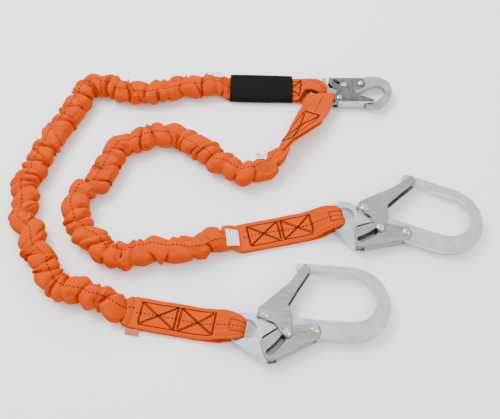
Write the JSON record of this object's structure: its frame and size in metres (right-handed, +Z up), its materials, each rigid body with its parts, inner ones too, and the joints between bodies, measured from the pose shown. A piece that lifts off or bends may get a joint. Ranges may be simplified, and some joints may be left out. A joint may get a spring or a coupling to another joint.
{
  "type": "shock absorbing lanyard",
  "caption": "Twin-leg stretch lanyard: a snap hook at the harness end, two elastic gathered webbing legs, and a large gated hook on each leg.",
  "frame": {"origin": "middle of the footprint, on the floor it lies on", "axes": "+X from the bends of the legs towards the hooks, +Y towards the snap hook, +Z up"},
  "size_m": [0.7277, 0.5127, 0.0393],
  "materials": {
    "webbing": "bright orange tubular polyester webbing, fine diagonal weave",
    "elastic": "black covered elastic strip",
    "thread": "black sewing thread",
    "wear_pad": "orange wear pad webbing",
    "warm_label": "salmon sewn label",
    "label": "white sewn label, blank",
    "sleeve": "matt black woven cover",
    "zinc_body": "pale zinc plated forged steel",
    "snap_steel": "zinc plated forged steel",
    "snap_plate": "grey stamped steel plate",
    "gate_plate": "silver stamped steel plate",
    "spring_wire": "spring wire",
    "washer": "plain steel washer",
    "rivet": "bright domed steel rivet"
  },
  "bodies": {
    "legs": {"leg_1_jacket": "webbing", "leg_1_elastic_core": "elastic", "leg_1_hook_strap": "webbing", "leg_1_snap_strap": "webbing", "leg_1_hook_stitching": "thread", "leg_1_snap_stitching": "thread", "leg_1_hook_wear_pad": "wear_pad", "leg_1_snap_wear_pad": "wear_pad", "leg_1_hook_label": "warm_label", "leg_1_snap_label": "label", "leg_2_jacket": "webbing", "leg_2_elastic_core": "elastic", "leg_2_hook_strap": "webbing", "leg_2_snap_strap": "webbing", "leg_2_hook_stitching": "thread", "leg_2_snap_stitching": "thread", "leg_2_hook_wear_pad": "wear_pad", "leg_2_snap_wear_pad": "wear_pad", "leg_2_hook_label": "label", "leg_2_snap_label": "label", "cover_sleeve": "sleeve"},
    "hook_1": {"hook_1_body": "zinc_body", "hook_1_gate_pivot": "rivet", "hook_1_gate_spacer": "washer", "hook_1_lever_pivot": "rivet"},
    "hook_1_gate": {"hook_1_gate": "gate_plate", "hook_1_lock_pin": "rivet", "hook_1_gate_spring": "spring_wire"},
    "hook_1_lever": {"hook_1_lock_lever": "gate_plate", "hook_1_lever_spring": "spring_wire"},
    "hook_2": {"hook_2_body": "zinc_body", "hook_2_gate_pivot": "rivet", "hook_2_gate_spacer": "washer", "hook_2_lever_pivot": "rivet"},
    "hook_2_gate": {"hook_2_gate": "gate_plate", "hook_2_lock_pin": "rivet", "hook_2_gate_spring": "spring_wire"},
    "hook_2_lever": {"hook_2_lock_lever": "gate_plate", "hook_2_lever_spring": "spring_wire"},
    "snap": {"snap_body": "snap_steel", "snap_gate_pivot": "rivet", "snap_gate_spacer": "washer", "snap_lever_pivot": "rivet"},
    "snap_gate": {"snap_gate": "snap_plate", "snap_lock_pin": "rivet", "snap_gate_spring": "spring_wire"},
    "snap_lever": {"snap_lock_lever": "snap_plate", "snap_lever_spring": "spring_wire"}
  },
  "joints": [
    {"name": "hook_1_swing", "type": "hinge", "parent": "legs", "child": "hook_1", "pos_m": [0.0036, -0.2083, 0.0125], "axis": [0, 0, 1], "range_deg": [-14, 5]},
    {"name": "hook_2_swing", "type": "hinge", "parent": "legs", "child": "hook_2", "pos_m": [0.1536, -0.0268, 0.0125], "axis": [0, 0, 1], "range_deg": [-3, 30]},
    {"name": "snap_swing", "type": "hinge", "parent": "legs", "child": "snap", "pos_m": [0.1301, 0.2072, 0.013], "axis": [0, 0, 1], "range_deg": [-12, 12]},
    {"name": "hook_1_gate_hinge", "type": "hinge", "parent": "hook_1", "child": "hook_1_gate", "pos_m": [0.03007, -0.1881, 0.0125], "axis": [0, 0, 1], "range_deg": [-50, 0], "stiffness_Nm_per_rad": 0.12, "springref_deg": 28.65},
    {"name": "hook_1_lever_hinge", "type": "hinge", "parent": "hook_1", "child": "hook_1_lever", "pos_m": [0.09975, -0.20951, 0.0125], "axis": [0, 0, 1], "range_deg": [-12, 0], "stiffness_Nm_per_rad": 0.12, "springref_deg": 17.19},
    {"name": "hook_2_gate_hinge", "type": "hinge", "parent": "hook_2", "child": "hook_2_gate", "pos_m": [0.18472, -0.01495, 0.0125], "axis": [0, 0, 1], "range_deg": [-50, 0], "stiffness_Nm_per_rad": 0.12, "springref_deg": 28.65},
    {"name": "hook_2_lever_hinge", "type": "hinge", "parent": "hook_2", "child": "hook_2_lever", "pos_m": [0.24545, -0.05527, 0.0125], "axis": [0, 0, 1], "range_deg": [-12, 0], "stiffness_Nm_per_rad": 0.12, "springref_deg": 17.19},
    {"name": "snap_gate_hinge", "type": "hinge", "parent": "snap", "child": "snap_gate", "pos_m": [0.1606, 0.2019, 0.013], "axis": [0, 0, 1], "range_deg": [0, 30], "stiffness_Nm_per_rad": 0.06, "springref_deg": -28.65},
    {"name": "snap_lever_hinge", "type": "hinge", "parent": "snap", "child": "snap_lever", "pos_m": [0.1994, 0.2349, 0.013], "axis": [0, 0, 1], "range_deg": [0, 12], "stiffness_Nm_per_rad": 0.06, "springref_deg": -17.19}
  ],
  "couplings": [
    {"joint": "hook_1_lever_hinge", "follows": "hook_1_gate_hinge", "ratio": 0.24},
    {"joint": "hook_2_lever_hinge", "follows": "hook_2_gate_hinge", "ratio": 0.24},
    {"joint": "snap_lever_hinge", "follows": "snap_gate_hinge", "ratio": 0.4}
  ]
}
